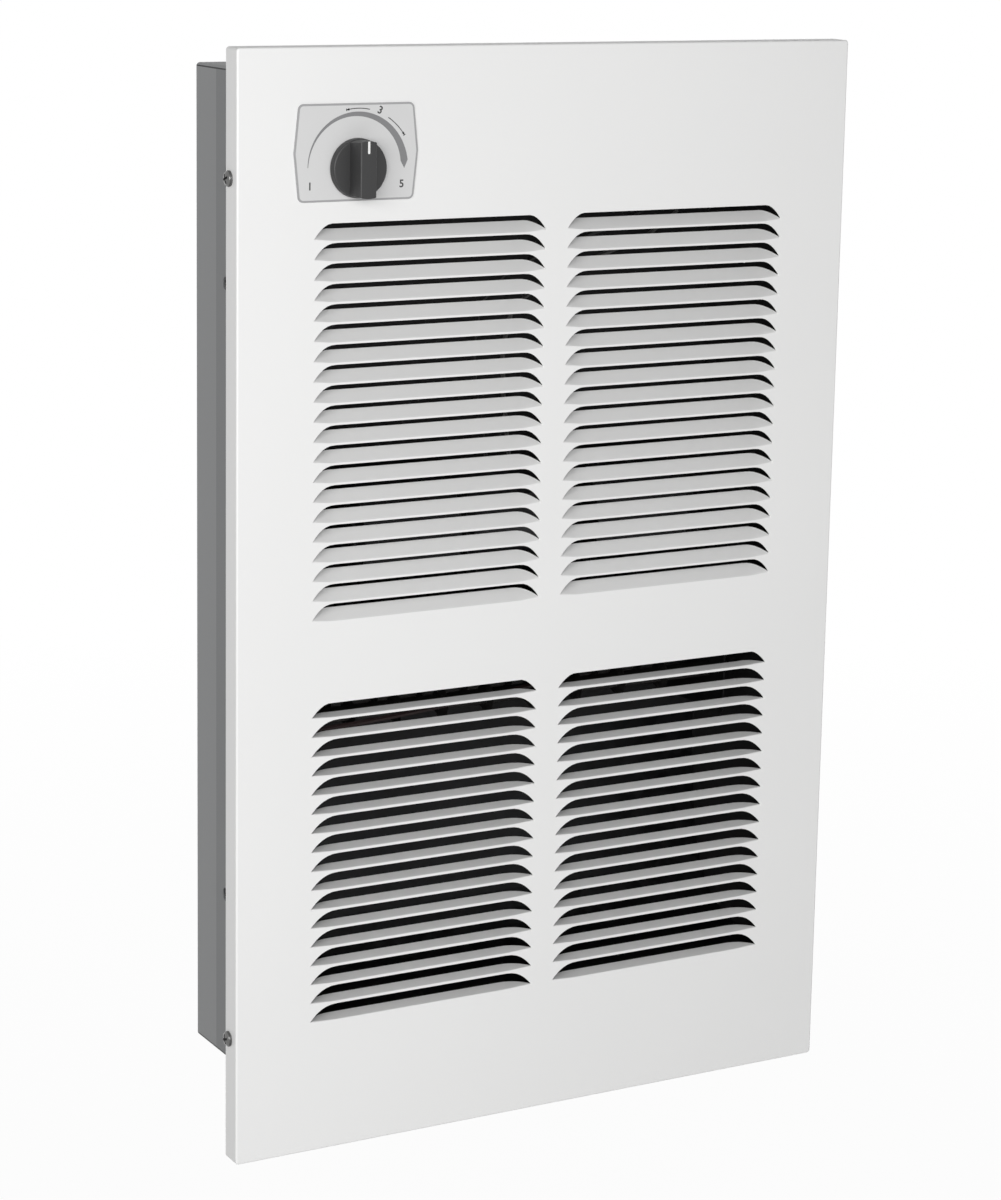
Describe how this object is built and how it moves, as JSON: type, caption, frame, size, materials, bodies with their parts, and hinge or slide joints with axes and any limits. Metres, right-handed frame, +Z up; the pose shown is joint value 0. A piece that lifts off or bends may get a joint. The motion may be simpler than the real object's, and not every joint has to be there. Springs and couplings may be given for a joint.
{
  "type": "recessed wall fan heater",
  "caption": "Recessed bathroom wall fan heater: white louvred steel panel with a thermostat knob over a can holding a twin blower, a finned element and an air deflector.",
  "frame": {"origin": "centre of the opening that the recess can fills, on the finished wall surface", "axes": "+Z up, +Y into the wall and away from the room, +X to the right as seen from the room"},
  "size_m": [0.422, 0.1319, 0.665],
  "materials": {
    "white_enamel": "semi-gloss powder coat",
    "grey_enamel": "satin grey paint",
    "zinc": "zinc plate",
    "galvanised_sheet": "galvanised spangle",
    "dial_grey": "matt printed foil",
    "knob_charcoal": "satin moulding",
    "pointer_white": "painted line",
    "bright_steel": "ground",
    "thermostat_black": "phenolic moulding",
    "copper": "dull copper",
    "motor_black": "semi-gloss black",
    "bronze": "sintered bronze",
    "rubber_black": "matt",
    "element_steel": "heat-darkened",
    "limit_brown": "phenolic moulding",
    "terminal_cream": "moulded",
    "terminal_brass": "plated",
    "ground_green": "dyed zinc",
    "wire_black": "insulation",
    "wire_red": "insulation",
    "wire_white": "insulation"
  },
  "bodies": {
    "housing": {"front_grille": "white_enamel", "wall_can": "grey_enamel", "grille_tab_1": "zinc", "grille_screw_1": "zinc", "grille_tab_2": "zinc", "grille_screw_2": "zinc", "grille_tab_3": "zinc", "grille_screw_3": "zinc", "grille_tab_4": "zinc", "grille_screw_4": "zinc", "dial_plate": "dial_grey", "thermostat_body": "thermostat_black", "thermostat_nut": "zinc", "thermostat_bracket": "galvanised_sheet", "sensing_bulb": "copper", "bulb_clip_1": "zinc", "bulb_clip_2": "zinc", "capillary_tube": "copper", "scroll_housing_left": "galvanised_sheet", "motor_bearing_left": "bronze", "motor_ring_left": "rubber_black", "scroll_housing_right": "galvanised_sheet", "motor_bearing_right": "bronze", "motor_ring_right": "rubber_black", "motor_body": "motor_black", "motor_cradle": "galvanised_sheet", "cradle_screw_1": "zinc", "cradle_screw_2": "zinc", "blower_deck": "galvanised_sheet", "deck_screw_1": "zinc", "deck_screw_2": "zinc", "deck_screw_3": "zinc", "deck_screw_4": "zinc", "heating_element": "element_steel", "element_bracket_left": "galvanised_sheet", "element_bracket_right": "galvanised_sheet", "limit_switch": "limit_brown", "air_deflector": "galvanised_sheet", "terminal_block": "terminal_cream", "terminal_screw_1": "terminal_brass", "terminal_screw_2": "terminal_brass", "terminal_screw_3": "terminal_brass", "ground_screw": "ground_green", "lead_line_to_thermostat": "wire_black", "lead_thermostat_to_limit": "wire_red", "lead_limit_to_element": "wire_red", "lead_element_to_neutral": "wire_white", "lead_motor_line": "wire_black", "lead_motor_neutral": "wire_white"},
    "knob": {"thermostat_knob": "knob_charcoal", "knob_pointer": "pointer_white", "thermostat_shaft": "bright_steel"},
    "blower": {"motor_shaft": "bright_steel", "blower_wheel_left": "galvanised_sheet", "blower_wheel_right": "galvanised_sheet"}
  },
  "joints": [
    {"name": "knob_turn", "type": "hinge", "parent": "housing", "child": "knob", "pos_m": [-0.1333, -0.02, 0.2509], "axis": [0, 1, 0], "range_deg": [-110, 110]},
    {"name": "blower_spin", "type": "hinge", "parent": "housing", "child": "blower", "pos_m": [0, 0.0495, 0.02128], "axis": [1, 0, 0], "continuous": true}
  ]
}
